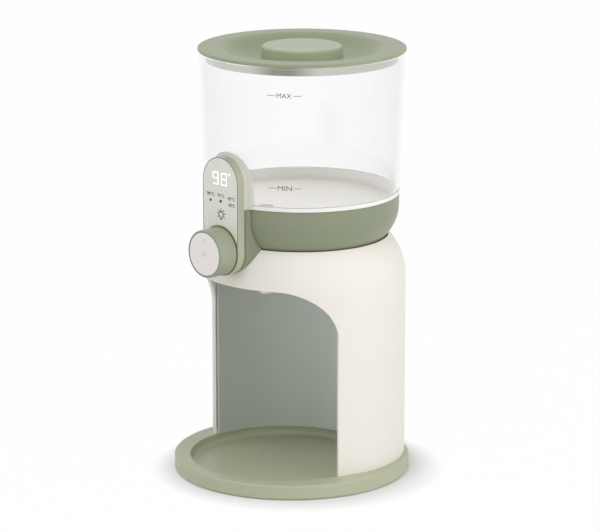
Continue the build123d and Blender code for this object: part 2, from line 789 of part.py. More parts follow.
coupler_slack = 0.5  # between the coupler's two halves
coupler_cap = 3.0
socket_flange = 2.0
socket_skirt_rise = 0.2  # above the cup's foot
socket_skirt_z = cup_bottom_z + socket_skirt_rise
contact_wall = 1.8
contact_gap = 0.8  # above the coupler
contact_z = cup_bottom_z + coupler_height + contact_gap
with BuildPart() as jug_coupler:
    with BuildSketch(Plane.XY.offset(socket_skirt_z)):
        with Locations(body_centre):
            Circle(socket_radius - seat_gap)
            Circle(coupler_radius + coupler_slack, mode=Mode.SUBTRACT)
    extrude(amount=socket_height)
    with BuildSketch(Plane.XY.offset(socket_skirt_z + socket_height)):
        with Locations(body_centre):
            Circle(socket_radius + socket_flange)
    extrude(amount=coupler_cap)
    with BuildSketch(Plane.XY.offset(cup_floor_z)):
        with Locations(body_centre):
            Circle(socket_radius + socket_flange)
            Circle(coupler_radius + coupler_slack, mode=Mode.SUBTRACT)
    extrude(amount=socket_height - cup_wall)
    with BuildSketch(Plane.XY.offset(contact_z)):
        with Locations(body_centre):
            Circle(coupler_pin + contact_wall)
            Circle(coupler_pin + coupler_slack, mode=Mode.SUBTRACT)
    extrude(amount=socket_height - coupler_height)
save(jug_coupler, "jug_coupler")

coupler_depth = 9.0
coupler_bottom_z = deck_bottom_z - coupler_depth
coupler_collar = 1.5
coupler_round = 0.8
contact_groove_outer = 9.5
contact_groove_inner = 7.0
with BuildPart() as seat_coupler:
    with BuildSketch(Plane.XY.offset(coupler_bottom_z)):
        with Locations(body_centre):
            Circle(coupler_radius + coupler_collar)
    extrude(amount=coupler_depth)
    with BuildSketch(Plane.XY.offset(deck_bottom_z)):
        with Locations(body_centre):
            Circle(coupler_radius - coupler_lip - seat_gap)
    extrude(amount=deck_thickness + coupler_height - coupler_collar)
    fillet(seat_coupler.edges().group_by(Axis.Z)[-1], coupler_round)
    with BuildSketch(Plane.XY.offset(deck_z + coupler_collar)):
        with Locations(body_centre):
            Circle(contact_groove_outer)
            Circle(contact_groove_inner, mode=Mode.SUBTRACT)
    extrude(amount=coupler_height, mode=Mode.SUBTRACT)
    with BuildSketch(Plane.XY.offset(deck_z)):
        with Locations(body_centre):
            Circle(coupler_pin)
    extrude(amount=coupler_height)
save(seat_coupler, "seat_coupler")

gasket_wall = 1.4
gasket_overhang = 0.2
gasket_round = 0.8
gasket_gap = 0.1  # above the heated floor's rim
gasket_bottom_z = pan_z + pan_rim_height + gasket_gap
with BuildPart() as glass_gasket:
    tongue = cup_inner_radius - seat_gap
    with BuildSketch(body_profile):
        Polygon(
            (tongue - gasket_wall, gasket_bottom_z),
            (tongue, gasket_bottom_z),
            (tongue, cup_rim_z),
            (cup_radius + gasket_overhang, cup_rim_z),
            (cup_radius + gasket_overhang, glass_bottom_z),
            (tongue - gasket_wall, glass_bottom_z),
            align=None,
        )
    revolve(axis=body_axis)
    fillet(glass_gasket.edges().group_by(Axis.Z)[-1].sort_by(SortBy.LENGTH)[-1], gasket_round)
save(glass_gasket, "glass_gasket")

with BuildPart() as jug_glass:
    with BuildSketch(body_profile):
        Polygon(
            (cup_radius - glass_wall, glass_bottom_z),
            (cup_radius, glass_bottom_z),
            (glass_top_radius, glass_top_z),
            (glass_top_radius - glass_wall, glass_top_z),
            align=None,
        )
    revolve(axis=body_axis)
    fillet(jug_glass.edges().group_by(Axis.Z)[-1], glass_round)
save(jug_glass, "jug_glass")

# ---------------------------------------------------------------- lid
lid_rim_bottom_z = lid_top_z - lid_rim_thickness
lid_floor_z = lid_top_z - lid_dish_depth
lid_root_radius = lid_knob_radius + lid_knob_draft
lid_inner_z = lid_floor_z - lid_wall
lid_slope = 0.16  # rise of the dish's side where it meets the rim
lid_under_slope = 0.3
lid_under_margin = 4.0  # the underside's hollow wider than the dish by this
lid_under_radius = lid_dish_radius + lid_under_margin
lid_top_round = 1.0
lid_edge_round = 0.6
lid_screw_head = 3.0
lid_screw_head_height = 1.6
lid_screw_shank = 1.5
lid_screw_grip = 5.0
lid_boss_radius = 5.0
knob_top_round = 1.6
with BuildPart() as lid_shell:
    with BuildSketch(body_profile):
        with BuildLine():
            Line((0, lid_floor_z), (lid_floor_radius, lid_floor_z))
            Spline(
                (lid_floor_radius, lid_floor_z),
                (lid_dish_radius, lid_top_z),
                tangents=((1, 0), (1, lid_slope)),
            )
            Line((lid_dish_radius, lid_top_z), (lid_radius, lid_top_z))
            Line((lid_radius, lid_top_z), (lid_radius, lid_rim_bottom_z))
            Line((lid_radius, lid_rim_bottom_z), (lid_under_radius, lid_rim_bottom_z))
            Spline(
                (lid_under_radius, lid_rim_bottom_z),
                (lid_floor_radius, lid_inner_z),
                tangents=((-1, -lid_under_slope), (-1, 0)),
            )
            Line((lid_floor_radius, lid_inner_z), (0, lid_inner_z))
            Line((0, lid_inner_z), (0, lid_floor_z))
        make_face()
    revolve(axis=body_axis)
    rim_edges = lid_shell.edges().filter_by(GeomType.CIRCLE).filter_by(
        lambda e: abs(e.radius - lid_radius) < 0.01
    )
    fillet(rim_edges.sort_by(Axis.Z)[-1], lid_top_round)
    fillet(rim_edges.sort_by(Axis.Z)[0], lid_edge_round)
    with BuildSketch(Plane.XY.offset(lid_inner_z)):
        with Locations(body_centre):
            Circle(lid_screw_shank + seat_gap)
    extrude(amount=lid_wall, mode=Mode.SUBTRACT)
save(lid_shell, "lid_shell")

with BuildPart() as lid_knob:
    with BuildSketch(body_profile):
        Polygon(
            (0, lid_floor_z),
            (lid_root_radius, lid_floor_z),
            (lid_knob_radius, lid_knob_top_z),
            (0, lid_knob_top_z),
            align=None,
        )
    revolve(axis=body_axis)
    fillet(lid_knob.edges().group_by(Axis.Z)[-1], knob_top_round)
    with BuildSketch(Plane.XY.offset(lid_floor_z)):
        with Locations(body_centre):
            Circle(lid_knob_radius - lid_wall)
            Circle(lid_boss_radius, mode=Mode.SUBTRACT)
    extrude(amount=lid_knob_top_z - lid_floor_z - lid_wall, mode=Mode.SUBTRACT)
    with BuildSketch(Plane.XY.offset(lid_floor_z)):
        with Locations(body_centre):
            Circle(lid_screw_shank + thread_gap)
    extrude(amount=lid_screw_grip + 1.0, mode=Mode.SUBTRACT)
save(lid_knob, "lid_knob")

with BuildPart() as lid_screw:
    with Locations(Plane((0, body_offset, lid_inner_z - lid_screw_head_height))):
        screw(lid_screw_head, lid_screw_head_height, lid_screw_shank, lid_wall + lid_screw_grip)
save(lid_screw, "lid_screw")

skirt_wall = 1.0
skirt_round = 0.3
seal_height = 1.8
seal_round = 0.7
skirt_bottom_z = lid_rim_bottom_z - skirt_height
with BuildPart() as lid_skirt:
    with BuildSketch(Plane.XY.offset(skirt_bottom_z)):
        with Locations(body_centre):
            Circle(skirt_radius)
            Circle(skirt_radius - skirt_wall, mode=Mode.SUBTRACT)
    extrude(amount=skirt_height)
    fillet(lid_skirt.edges().group_by(Axis.Z)[0], skirt_round)
save(lid_skirt, "lid_skirt")

with BuildPart() as lid_seal:
    with BuildSketch(Plane.XY.offset(lid_rim_bottom_z - seal_height)):
        with Locations(body_centre):
            Circle(glass_top_radius - glass_wall - seat_gap)
            Circle(skirt_radius, mode=Mode.SUBTRACT)
    extrude(amount=seal_height)
    fillet(lid_seal.edges().group_by(Axis.Z)[0].sort_by(SortBy.LENGTH)[-1], seal_round)
save(lid_seal, "lid_seal")

# ---------------------------------------------------------------- control pod
front_wall = 1.4
cavity_front = pod_face - fascia_thickness - front_wall
fascia_radius = pod_radius - fascia_inset
window_width = 20.0
window_height = 12.0
window_rise = 2.6  # the display's centre above the centre of the pod's top round
window_z = pod_top_centre_z + window_rise
pod_round = 0.6
board_stand = 1.4  # the board's front ahead of the slab's back
board_front = slab_back + board_stand
board_gap = 1.0  # between the board's edge and the pod's wall
board_radius = pod_radius - pod_wall - board_gap
knob_bore = knob_tube_radius + running_gap

with BuildPart() as pod_housing:
    with BuildSketch(pod_plane(slab_back)):
        stadium(pod_radius)
    extrude(amount=slab_depth)
    fillet(pod_housing.faces().sort_by(Axis.Y)[0].edges(), pod_round)
    with BuildSketch(pod_plane(pod_face)):
        stadium(fascia_radius)
        with Locations((0, knob_z)):
            Circle(collar_radius, mode=Mode.SUBTRACT)
    extrude(amount=-fascia_thickness, mode=Mode.SUBTRACT)
    with BuildSketch(pod_plane(slab_back)):
        stadium(pod_radius - pod_wall)
    extrude(amount=cavity_front - slab_back, mode=Mode.SUBTRACT)
    with BuildSketch(pod_plane(pod_face)):
        with Locations((0, window_z)):
            Rectangle(window_width, window_height)
        with Locations((0, knob_z)):
            Circle(knob_bore)
    extrude(amount=-slab_depth, mode=Mode.SUBTRACT)
save(pod_housing, "pod_housing")

fascia_gap = 0.15
with BuildPart() as fascia:
    with BuildSketch(pod_plane(pod_face - fascia_thickness)):
        stadium(fascia_radius - fascia_gap)
        with Locations((0, knob_z)):
            Circle(collar_radius + fascia_gap, mode=Mode.SUBTRACT)
    extrude(amount=fascia_thickness)
save(fascia, "fascia")

with BuildPart() as digit_display:
    with BuildSketch(pod_plane(board_front)):
        with Locations((0, window_z)):
            Rectangle(window_width - 2 * seat_gap, window_height - 2 * seat_gap)
    extrude(amount=pod_face - fascia_thickness - board_front)
save(digit_display, "digit_display")

lamp_row_rise = 34.0  # three lamps in a row, above the knob's axis
ready_lamp_rise = 22.0  # and one below them
lamp_step = 9.5
lamp_row_z = knob_z + lamp_row_rise
lamp_row = [(side * lamp_step, lamp_row_z) for side in (-1, 0, 1)]
lamp_places = [(0, knob_z + ready_lamp_rise)] + lamp_row
lamp_width = 2.4
lamp_height = 1.6
lamp_depth = 0.8
with BuildPart() as display_board:
    with BuildSketch(pod_plane(board_front - board_thickness)):
        stadium(board_radius)
    extrude(amount=board_thickness)
    with BuildSketch(pod_plane(board_front)):
        with Locations(*lamp_places):
            Rectangle(lamp_width, lamp_height)
    extrude(amount=lamp_depth)
save(display_board, "display_board")

encoder_gap = 2.2  # round the knob's tube
encoder_inner = knob_tube_radius + encoder_gap
encoder_width = 2.6
encoder_depth = 1.2
with BuildPart() as knob_encoder:
    with BuildSketch(pod_plane(board_front)):
        with Locations((0, knob_z)):
            Circle(encoder_inner + encoder_width)
            Circle(encoder_inner, mode=Mode.SUBTRACT)
    extrude(amount=encoder_depth)
save(knob_encoder, "knob_encoder")

back_step = 0.5  # the back cover stands inside the housing's outline
wrap_gap = 0.1  # between the back cover and the light's cover
pod_span = 2 * pod_height + 2 * pod_radius  # more than the pod's own height
with BuildPart() as pod_back:
    with BuildSketch(pod_plane(slab_back)):
        stadium(pod_radius - back_step)
    extrude(amount=-wrap_depth)
    with BuildSketch(pod_plane(back_cover_back)):
        with Locations((0, cup_rim_z)):
            Rectangle(pod_span, pod_span, align=(Align.CENTER, Align.MAX))
    extrude(amount=-wrap_depth, mode=Mode.SUBTRACT)
    wrap_clearance = jug_clearance + diffuser_thickness + wrap_gap
    revolve(jug_envelope(wrap_clearance), axis=body_axis, mode=Mode.SUBTRACT)
    revolve(shell_outline(seat_gap), axis=body_axis, mode=Mode.SUBTRACT)
    with BuildSketch(pod_plane(slab_back)):
        stadium(pod_radius - pod_wall - seat_gap)
        stadium(pod_radius - 2 * pod_wall - seat_gap, mode=Mode.SUBTRACT)
    extrude(amount=board_front - board_thickness - slab_back)
    with BuildSketch(pod_plane(slab_back)):
        with Locations((0, cable_hole_z)):
            Circle(cable_hole_radius)
    extrude(amount=-back_depth, mode=Mode.SUBTRACT)
save(pod_back, "pod_back")

diffuser_radius = pod_radius + diffuser_overhang
diffuser_centre_z = pod_top_centre_z + diffuser_rise - diffuser_overhang
with BuildPart() as light_diffuser:
    with BuildSketch(pod_plane(slab_back)):
        with Locations((0, (diffuser_centre_z + knob_z) / 2)):
            SlotCenterToCenter(diffuser_centre_z - knob_z, 2 * diffuser_radius, rotation=90)
        with Locations((0, cup_rim_z)):
            Rectangle(pod_span, pod_span, align=(Align.CENTER, Align.MAX), mode=Mode.SUBTRACT)
    extrude(amount=-wrap_depth)
    diffuser_front = jug_clearance + diffuser_thickness
    revolve(jug_envelope(diffuser_front), axis=body_axis, mode=Mode.INTERSECT)
    revolve(jug_envelope(jug_clearance), axis=body_axis, mode=Mode.SUBTRACT)
save(light_diffuser, "light_diffuser")

neck_depth = 20.0
neck_step = 0.2
with BuildPart() as pod_neck:
    with BuildSketch(pod_plane(back_cover_back)):
        stadium(pod_radius - neck_step)
    extrude(amount=-neck_depth, taper=neck_taper)
    with BuildSketch(Plane.XY.offset(cup_rim_z)):
        Rectangle(4 * body_radius, 4 * body_radius)
    extrude(amount=2 * pod_height, mode=Mode.SUBTRACT)
    revolve(jug_envelope(jug_clearance), axis=body_axis, mode=Mode.SUBTRACT)
    revolve(shell_outline(), axis=body_axis, mode=Mode.SUBTRACT)
    with BuildSketch(pod_plane(back_cover_back)):
        with Locations((0, cable_hole_z)):
            Circle(cable_hole_radius)
        with Locations((-neck_screw_x, neck_screw_z), (neck_screw_x, neck_screw_z)):
            Circle(neck_screw_shank + thread_gap)
    extrude(amount=-neck_depth, mode=Mode.SUBTRACT)
save(pod_neck, "pod_neck")

# ---------------------------------------------------------------- knob
web_thickness = 1.6
web_front = knob_face_at - button_thickness - button_travel - seat_gap
tube_gap = 0.4  # the tube ends this far ahead of the board
tube_back = board_front + tube_gap
clip_groove = 0.8
clip_thickness = 0.6
clip_gap = 0.15  # behind the cavity's front wall
clip_front = cavity_front - clip_gap
clip_width = 1.6
clip_mouth = 6.0
groove_play = 0.05
knob_round = 0.9
button_round = 0.4
with BuildPart() as knob_ring:
    with BuildSketch(pod_plane(knob_back)):
        with Locations((0, knob_z)):
            Circle(knob_radius)
    extrude(amount=knob_face_at - knob_back)
    fillet(knob_ring.faces().sort_by(Axis.Y)[0].edges(), knob_round)
    with BuildSketch(pod_plane(knob_face_at)):
        with Locations((0, knob_z)):
            Circle(button_radius + seat_gap)
    extrude(amount=web_front - knob_face_at, mode=Mode.SUBTRACT)
    with BuildSketch(pod_plane(knob_back)):
        with Locations((0, knob_z)):
            Circle(knob_radius - knob_wall)
            Circle(knob_tube_radius, mode=Mode.SUBTRACT)
    extrude(amount=web_front - web_thickness - knob_back, mode=Mode.SUBTRACT)
    with BuildSketch(pod_plane(tube_back)):
        with Locations((0, knob_z)):
            Circle(knob_tube_radius)
    extrude(amount=knob_back - tube_back)
    with BuildSketch(pod_plane(clip_front + groove_play)):
        with Locations((0, knob_z)):
            Circle(knob_tube_radius)
            Circle(knob_tube_radius - clip_groove, mode=Mode.SUBTRACT)
    extrude(amount=-clip_thickness - 2 * groove_play, mode=Mode.SUBTRACT)
    with BuildSketch(pod_plane(knob_face_at)):
        with Locations((0, knob_z)):
            Circle(plunger_radius + running_gap)
    extrude(amount=tube_back - knob_face_at, mode=Mode.SUBTRACT)
save(knob_ring, "knob_ring")

with BuildPart() as knob_clip:
    with BuildSketch(pod_plane(clip_front)):
        with Locations((0, knob_z)):
            Circle(knob_tube_radius + clip_width)
            Circle(knob_tube_radius - clip_groove + running_gap, mode=Mode.SUBTRACT)
        with Locations((0, knob_z - knob_tube_radius)):
            Rectangle(clip_mouth, knob_tube_radius, mode=Mode.SUBTRACT)
    extrude(amount=-clip_thickness)
save(knob_clip, "knob_clip")

switch_side = 6.0
switch_height = 3.2
switch_top = board_front + switch_height
switch_key = 0.8
switch_key_radius = 1.7
plunger_gap = 0.1  # left at the end of the button's travel
plunger_end = switch_top + button_travel + plunger_gap
with BuildPart() as knob_button:
    with BuildSketch(pod_plane(knob_face_at - button_thickness)):
        with Locations((0, knob_z)):
            Circle(button_radius)
    extrude(amount=button_thickness)
    fillet(knob_button.faces().sort_by(Axis.Y)[0].edges(), button_round)
    with BuildSketch(pod_plane(plunger_end)):
        with Locations((0, knob_z)):
            Circle(plunger_radius)
    extrude(amount=knob_face_at - button_thickness - plunger_end)
save(knob_button, "knob_button")

with BuildPart() as button_switch:
    with BuildSketch(pod_plane(board_front)):
        with Locations((0, knob_z)):
            Rectangle(switch_side, switch_side)
    extrude(amount=switch_height - switch_key)
    with BuildSketch(pod_plane(switch_top - switch_key)):
        with Locations((0, knob_z)):
            Circle(switch_key_radius)
    extrude(amount=switch_key)
save(button_switch, "button_switch")

# ---------------------------------------------------------------- valve, board and mains inlet
valve_block = 17.0
coil_radius = 6.5
coil_length = 16.0
coil_start = 2.0  # the coil stands this far off the valve's block
core_radius = 4.0
core_overhang = 1.2
nozzle_top_z = ceiling_top_z + nozzle_flange
coil_rise = 1.0  # above the middle of the room for it
coil_z = (nozzle_top_z + port_bottom_z) / 2 + coil_rise
coil_plane = Plane((valve_block / 2, outlet_place[1], coil_z), x_dir=(0, 1, 0), z_dir=(1, 0, 0))
with BuildPart() as solenoid_valve:
    with Locations((*outlet_place, nozzle_top_z)):
        Box(
            valve_block,
            valve_block,
            port_bottom_z - nozzle_top_z,
            align=(Align.CENTER, Align.CENTER, Align.MIN),
        )
    with BuildSketch(coil_plane):
        Circle(core_radius)
    extrude(amount=coil_start + coil_length + core_overhang)
    with BuildSketch(coil_plane.offset(coil_start)):
        Circle(coil_radius)
    extrude(amount=coil_length)
    with BuildSketch(Plane.XY.offset(nozzle_top_z)):
        with Locations(outlet_place):
            Circle(nozzle_bore)
    extrude(amount=port_bottom_z - nozzle_top_z, mode=Mode.SUBTRACT)
save(solenoid_valve, "solenoid_valve")

with BuildPart() as main_board:
    with BuildSketch(board_plane):
        Rectangle(main_board_width, main_board_height)
        with GridLocations(board_screw_dx, board_screw_dz, 2, 2):
            Circle(board_screw_shank + seat_gap, mode=Mode.SUBTRACT)
    extrude(amount=main_board_thickness)
save(main_board, "main_board")

relay_width = 18.0
relay_height = 15.0
relay_place = (-12.0, 12.0)
transformer_width = 12.0
transformer_height = 16.0
transformer_place = (12.0, 14.0)
capacitor_radius = 4.5
capacitor_places = [(-14.0, -14.0), (-2.0, -14.0)]
component_depth = 8.0
with BuildPart() as board_parts:
    with BuildSketch(board_plane.offset(main_board_thickness)):
        with Locations(relay_place):
            Rectangle(relay_width, relay_height)
        with Locations(transformer_place):
            Rectangle(transformer_width, transformer_height)
        with Locations(*capacitor_places):
            Circle(capacitor_radius)
    extrude(amount=component_depth)
save(board_parts, "board_parts")

with BuildPart() as board_screws:
    with Locations(board_plane.offset(main_board_thickness + board_screw_head_height)):
        with GridLocations(board_screw_dx, board_screw_dz, 2, 2):
            with Locations(Rot(180, 0, 0)):
                screw(
                    board_screw_head,
                    board_screw_head_height,
                    board_screw_shank,
                    main_board_thickness + board_screw_depth - seat_gap,
                )
save(board_screws, "board_screws")

socket_pin_radius = 1.2
socket_pin_pitch = 8.6
socket_wall = 2.0
socket_floor = 4.0
socket_pin_length = 8.0
with BuildPart() as mains_inlet:
    with BuildSketch(inlet_plane.offset(-inlet_depth)):
        Rectangle(inlet_width, inlet_height)
    extrude(amount=inlet_depth + inlet_flange)
    with BuildSketch(inlet_plane.offset(-inlet_flange)):
        RectangleRounded(inlet_width + 2 * socket_wall, inlet_height + 2 * socket_wall, socket_wall)
        Rectangle(inlet_width, inlet_height, mode=Mode.SUBTRACT)
    extrude(amount=2 * inlet_flange)
    with BuildPart(mode=Mode.PRIVATE) as inside_body:
        with Locations((*body_centre, inlet_z)):
            Cylinder(body_radius, 4 * inlet_height)
        with BuildSketch(inlet_plane.offset(inlet_flange)):
            Rectangle(inlet_width, inlet_height)
        extrude(amount=-3 * inlet_depth, mode=Mode.SUBTRACT)
    add(inside_body.part, mode=Mode.SUBTRACT)
    with BuildSketch(inlet_plane.offset(inlet_flange)):
        SlotOverall(inlet_width - 2 * socket_wall, inlet_height - 2 * socket_wall)
    extrude(amount=socket_floor - inlet_depth - inlet_flange, mode=Mode.SUBTRACT)
    with BuildSketch(inlet_plane.offset(socket_floor - inlet_depth)):
        with Locations((-socket_pin_pitch / 2, 0), (socket_pin_pitch / 2, 0)):
            Circle(socket_pin_radius)
    extrude(amount=socket_pin_length)
save(mains_inlet, "mains_inlet")

with BuildPart() as neck_screws:
    for side in (-1, 1):
        head_place = (side * neck_screw_x, neck_screw_head_height - neck_seat, neck_screw_z)
        with Locations(Plane(head_place, z_dir=(0, -1, 0))):
            screw(neck_screw_head, neck_screw_head_height, neck_screw_shank, neck_screw_length)
save(neck_screws, "neck_screws")
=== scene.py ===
"""Looks for the baby formula maker: camera, light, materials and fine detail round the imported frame."""
import json
import math

import bmesh
import bpy
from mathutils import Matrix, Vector


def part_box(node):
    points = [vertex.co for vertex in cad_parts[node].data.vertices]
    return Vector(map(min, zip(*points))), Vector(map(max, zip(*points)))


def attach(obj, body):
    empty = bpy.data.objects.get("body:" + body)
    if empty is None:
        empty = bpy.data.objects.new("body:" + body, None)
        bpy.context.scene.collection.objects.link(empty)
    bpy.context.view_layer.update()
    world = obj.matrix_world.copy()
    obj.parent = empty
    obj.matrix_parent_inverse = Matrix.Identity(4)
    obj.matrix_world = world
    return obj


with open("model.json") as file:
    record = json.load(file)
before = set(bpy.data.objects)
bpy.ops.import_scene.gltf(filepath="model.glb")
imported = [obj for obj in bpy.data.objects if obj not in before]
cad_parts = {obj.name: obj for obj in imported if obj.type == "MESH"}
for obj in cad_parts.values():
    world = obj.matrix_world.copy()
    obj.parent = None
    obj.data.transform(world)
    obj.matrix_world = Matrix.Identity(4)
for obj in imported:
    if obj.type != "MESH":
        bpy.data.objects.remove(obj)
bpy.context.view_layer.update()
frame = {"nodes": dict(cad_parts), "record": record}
nodes = frame["nodes"]
scene = bpy.context.scene
MM = 0.001
AXIS_Y = 0.011  # the jug's and body's axis

# ---------------------------------------------------------------- camera
CAMERA_AZIMUTH = math.radians(46.0)
CAMERA_PITCH = math.radians(13.97)
CAMERA_DISTANCE = 2.515
CAMERA_AIM_Z = 0.156
CAMERA_SHIFT = -0.0015  # sideways
CAMERA_LENS = 198.0
CAMERA_SENSOR = 36.0


def make_camera():
    back = Vector(
        (
            math.sin(CAMERA_AZIMUTH) * math.cos(CAMERA_PITCH),
            -math.cos(CAMERA_AZIMUTH) * math.cos(CAMERA_PITCH),
            math.sin(CAMERA_PITCH),
        )
    )
    right = Vector((math.cos(CAMERA_AZIMUTH), math.sin(CAMERA_AZIMUTH), 0))
    data = bpy.data.cameras.new("camera")
    data.sensor_width = CAMERA_SENSOR
    data.lens = CAMERA_LENS
    data.clip_start, data.clip_end = 0.05, 50.0
    camera = bpy.data.objects.new("camera", data)
    camera.location = Vector((0, AXIS_Y, CAMERA_AIM_Z)) + right * CAMERA_SHIFT + back * CAMERA_DISTANCE
    camera.rotation_mode = "QUATERNION"
    camera.rotation_quaternion = (-back).to_track_quat("-Z", "Y")
    scene.collection.objects.link(camera)
    scene.camera = camera


make_camera()


# ---------------------------------------------------------------- shader nodes
def srgb(r, g, b):
    """Linear colour of an sRGB one in 0 to 255."""

    def one(c):
        c /= 255.0
        return c / 12.92 if c <= 0.04045 else ((c + 0.055) / 1.055) ** 2.4

    return (one(r), one(g), one(b), 1.0)


def grey(level):
    return (level, level, level, 1)


def new_material(name):
    material = bpy.data.materials.new(name)
    material.use_nodes = True
    tree = material.node_tree
    return material, tree, tree.nodes["Principled BSDF"]


def add(tree, kind, values=None, **settings):
    """A new shader node with its settings, then its input values by name or number."""
    node = tree.nodes.new("ShaderNode" + kind)
    for name, value in settings.items():
        setattr(node, name, value)
    for key, value in (values or {}).items():
        node.inputs[key].default_value = value
    return node


def object_coords(tree):
    return add(tree, "TexCoord").outputs["Object"]


def combine(tree, operation, first, second):
    """A Math node's result; each side is a number or another node's output."""
    node = add(tree, "Math", operation=operation)
    for socket, value in zip(node.inputs, (first, second)):
        if isinstance(value, (int, float)):
            socket.default_value = value
        else:
            tree.links.new(value, socket)
    return node.outputs[0]


def noise(tree, vector, scale, detail=2.0):
    node = add(tree, "TexNoise", {"Scale": scale, "Detail": detail})
    tree.links.new(vector, node.inputs["Vector"])
    return node.outputs["Fac"]


def span(tree, value, low, high):
    """Spreads a value of 0 to 1 from low to high."""
    node = add(tree, "MapRange", {"To Min": low, "To Max": high})
    tree.links.new(value, node.inputs["Value"])
    return node.outputs["Result"]


def mixed(tree, first, second, factor):
    """A colour between two others."""
    node = add(tree, "Mix", {"A": first, "B": second}, data_type="RGBA")
    tree.links.new(factor, node.inputs["Factor"])
    return node.outputs["Result"]


def mixed_shader(tree, factor, first, second):
    """Mixes two shaders and makes the result the material's surface."""
    node = add(tree, "MixShader")
    for value, socket in zip((factor, first, second), node.inputs):
        tree.links.new(value, socket)
    tree.links.new(node.outputs[0], tree.nodes["Material Output"].inputs["Surface"])


def relief(tree, height, strength, distance, normal=None):
    """Bumps the surface by a height, over a normal of another node where one is given."""
    node = add(tree, "Bump", {"Strength": strength, "Distance": distance})
    tree.links.new(height, node.inputs["Height"])
    if normal:
        tree.links.new(normal, node.inputs["Normal"])
    tree.links.new(node.outputs["Normal"], tree.nodes["Principled BSDF"].inputs["Normal"])


def light_path(tree, *kinds):
    """The largest of the named values of the ray."""
    rays = add(tree, "LightPath")
    value = rays.outputs[kinds[0]]
    for kind in kinds[1:]:
        value = combine(tree, "MAXIMUM", value, rays.outputs[kind])
    return value


def seen_ray(tree):
    """1 for a ray that the eye sees, straight, mirrored or through glass; 0 for one that only lights."""
    return light_path(tree, "Is Camera Ray", "Is Glossy Ray", "Is Transmission Ray")


def measured(tree, axes, edge, blend, centre=(0, AXIS_Y, 0)):
    """0 within and 1 beyond a distance from a centre, measured along the given axes only."""
    shift = add(tree, "VectorMath", {1: centre}, operation="SUBTRACT")
    keep = add(tree, "VectorMath", {1: axes}, operation="MULTIPLY")
    far = add(tree, "VectorMath", operation="LENGTH")
    step = add(tree, "MapRange", {"From Min": edge - blend, "From Max": edge + blend})
    tree.links.new(object_coords(tree), shift.inputs[0])
    tree.links.new(shift.outputs["Vector"], keep.inputs[0])
    tree.links.new(keep.outputs["Vector"], far.inputs[0])
    tree.links.new(far.outputs["Value"], step.inputs["Value"])
    return step.outputs["Result"]


AROUND = (1, 1, 0)  # measured from the upright axis
ACROSS = (1, 0, 0)
UPWARDS = (0, 0, 1)

# ---------------------------------------------------------------- materials
SAGE = srgb(163, 167, 141)
CUP_SAGE = srgb(140, 147, 121)
# a darker sage: painted shade on the neck and on the pod's back below the cup's rim
PAINTED_SHADE_SAGE = srgb(136, 142, 119)
CUP_INSIDE = srgb(240, 238, 234)
# a pale grey: painted reflection of the glass on the pod's back above the cup's rim
PAINTED_GLASS_REFLECTION = srgb(214, 212, 203)

MOULD_GRAIN = 900.0  # noise scale of a moulded surface's grain
ROUND_EDGE = 0.00035  # radius that the shading gives to sharp edges
BRUSHED = (40, 40, 2500)  # the grain's scale along each axis: long round the piece, fine along Z
CAST = (900, 900, 900)


def plastic(name, colour, rough=0.35, coat=0.0, vary=0.03, bump=0.02, specular=0.5):
    """Moulded plastic: slight colour drift, fine surface grain and roughness that varies."""
    material, tree, shader = new_material(name)
    link = tree.links.new
    coords = object_coords(tree)
    darker = tuple(c * (1 - vary) for c in colour[:3]) + (1,)
    lighter = tuple(min(1, c * (1 + vary)) for c in colour[:3]) + (1,)
    drift = noise(tree, coords, scale=14.0, detail=3.0)
    link(mixed(tree, darker, lighter, drift), shader.inputs["Base Color"])
    grain = noise(tree, coords, scale=MOULD_GRAIN)
    link(span(tree, grain, max(0.02, rough - 0.04), rough + 0.04), shader.inputs["Roughness"])
    edge = add(tree, "Bevel", {"Radius": ROUND_EDGE}, samples=4)
    relief(tree, grain, strength=bump, distance=0.0002, normal=edge.outputs["Normal"])
    shader.inputs["Coat Weight"].default_value = coat
    shader.inputs["Coat Roughness"].default_value = 0.08
    shader.inputs["Specular IOR Level"].default_value = specular
    return material


def two_tone(material, first, second, factor):
    """Gives a material two colours, mixed by a factor."""
    tree = material.node_tree
    colour = mixed(tree, first, second, factor)
    tree.links.new(colour, tree.nodes["Principled BSDF"].inputs["Base Color"])
    return material


def milky(name, colour, clear):
    """Translucent moulding: part of the light goes through and scatters."""
    material = plastic(name, colour, rough=0.3, vary=0.01)
    shader = material.node_tree.nodes["Principled BSDF"]
    shader.inputs["Transmission Weight"].default_value = clear
    shader.inputs["IOR"].default_value = 1.42
    return material


def painted_glow_panel(name, colour, glow):
    """A face with a painted glow: it gives off a little light of its own, though no lamp stands behind
    it.
    """
    material = plastic(name, colour, rough=0.2, coat=0.4, vary=0.006, bump=0.0)
    shader = material.node_tree.nodes["Principled BSDF"]
    shader.inputs["Emission Color"].default_value = colour
    shader.inputs["Emission Strength"].default_value = glow
    return material


def cup_plastic():
    """The cup's sage outside, with a pale wall inside, over the pan."""
    pale_depth = 0.012  # the pale wall reaches down from the rim by this
    wall_middle = 0.0011  # between the wall's two faces, inside the outer one
    sharp = 0.0001
    material = plastic("cup_sage", CUP_SAGE, rough=0.4)
    tree = material.node_tree
    low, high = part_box("jug_cup")
    outside = measured(tree, AROUND, (high[0] - low[0]) / 2 - wall_middle, sharp)
    above = measured(tree, UPWARDS, high[2] - pale_depth, sharp)
    below = combine(tree, "SUBTRACT", 1.0, above)
    return two_tone(material, CUP_INSIDE, CUP_SAGE, combine(tree, "MAXIMUM", outside, below))


def pod_back_plastic():
    """The pod's back: a darker sage up to the cup's rim, painted shade, and a pale grey above it where it
    stands behind the glass, a painted reflection of the glass.
    """
    material = plastic("pod_back_plastic", SAGE, rough=0.4)
    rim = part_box("jug_cup")[1][2]
    return two_tone(material, PAINTED_SHADE_SAGE, PAINTED_GLASS_REFLECTION, measured(material.node_tree, UPWARDS, rim, 0.0006))


